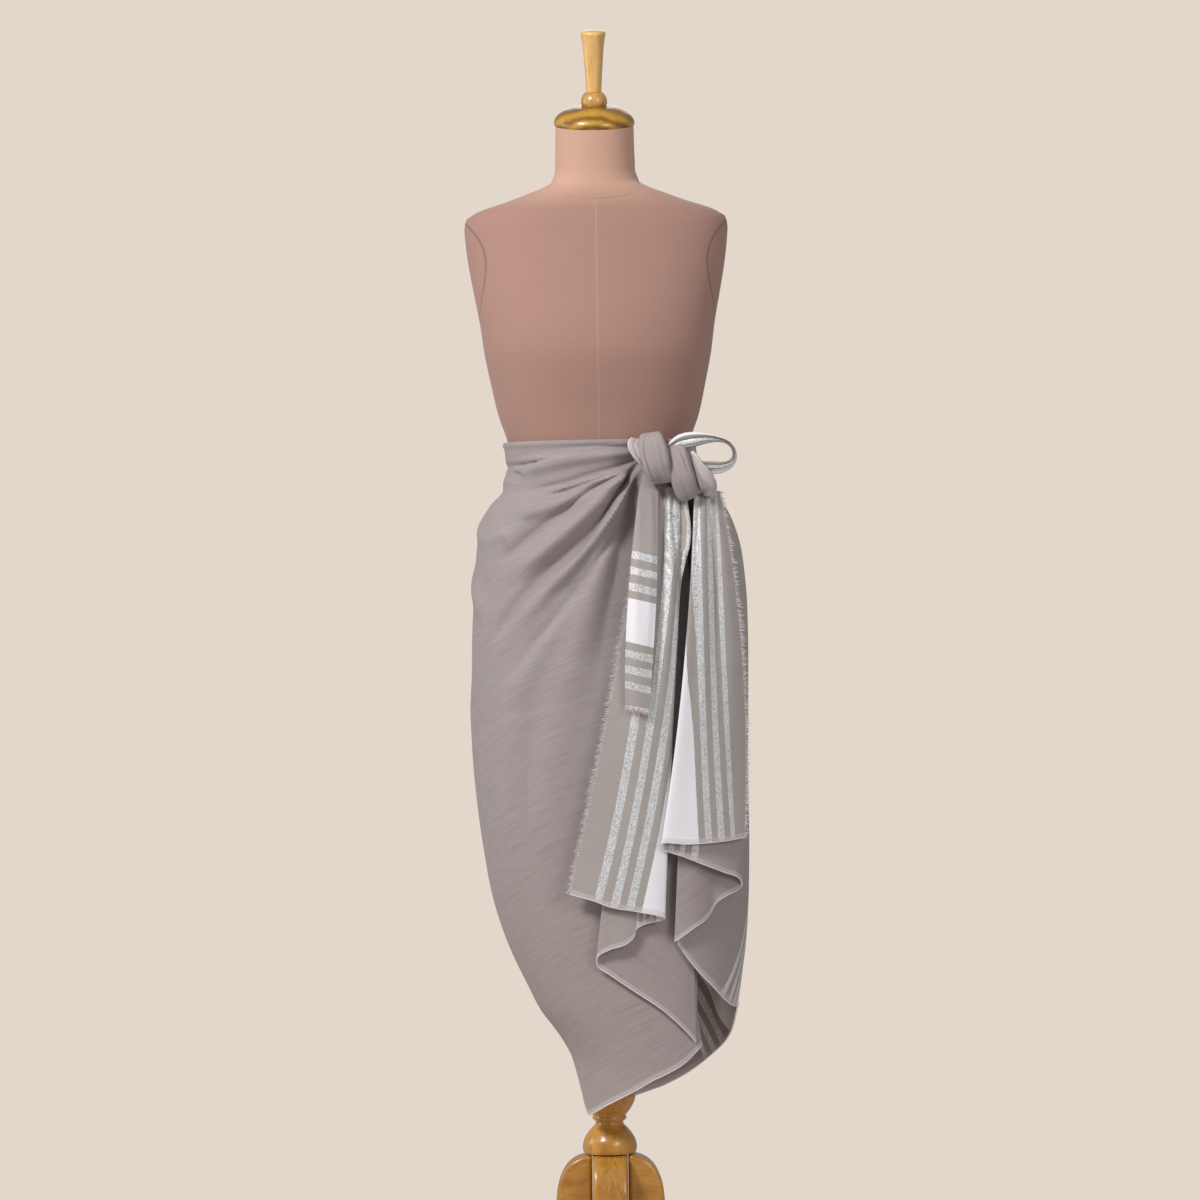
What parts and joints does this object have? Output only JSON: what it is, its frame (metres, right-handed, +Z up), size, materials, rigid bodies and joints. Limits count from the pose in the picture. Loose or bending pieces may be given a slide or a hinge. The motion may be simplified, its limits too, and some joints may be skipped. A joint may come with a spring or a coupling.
{
  "type": "longyi sarong on a dress form",
  "caption": "Grey cotton longyi sarong with silver and white striped ends, wrapped round a limbless dress form on a turned wooden stand and knotted over its left hip.",
  "frame": {"origin": "on the floor under the stand's pole, at the centre of the four feet", "axes": "+Z up, -Y out of the form's front, +X towards the knotted hip"},
  "size_m": [0.49, 0.49, 1.6582],
  "materials": {
    "cotton": "grey handwoven cotton with fine slubs",
    "fringe": "short cut warp ends",
    "form_cover": "mauve brown jersey cover",
    "wood": "waxed honey wood, satin"
  },
  "bodies": {
    "root": {"wrap_front": "cotton", "wrap_back": "cotton", "wrap_right": "cotton", "panel_left": "cotton", "panel_right": "cotton", "pleat_left_outer": "cotton", "pleat_left_inner": "cotton", "pleat_right_inner": "cotton", "pleat_right_outer": "cotton", "tail_band": "cotton", "knot_wrap": "cotton", "knot_tuck": "cotton", "knot_fold_inner": "cotton", "knot_fold_outer": "cotton", "knot_loop": "cotton", "fringe_left": "fringe", "fringe_right": "fringe", "fringe_tail": "fringe", "form_torso": "form_cover", "neck_cap": "wood", "cap_ball": "wood", "cap_grip": "wood", "stand_pole": "wood", "stand_post": "wood", "stand_hub": "wood", "stand_leg_front": "wood", "stand_leg_back": "wood", "stand_leg_left": "wood", "stand_leg_right": "wood"}
  },
  "joints": []
}
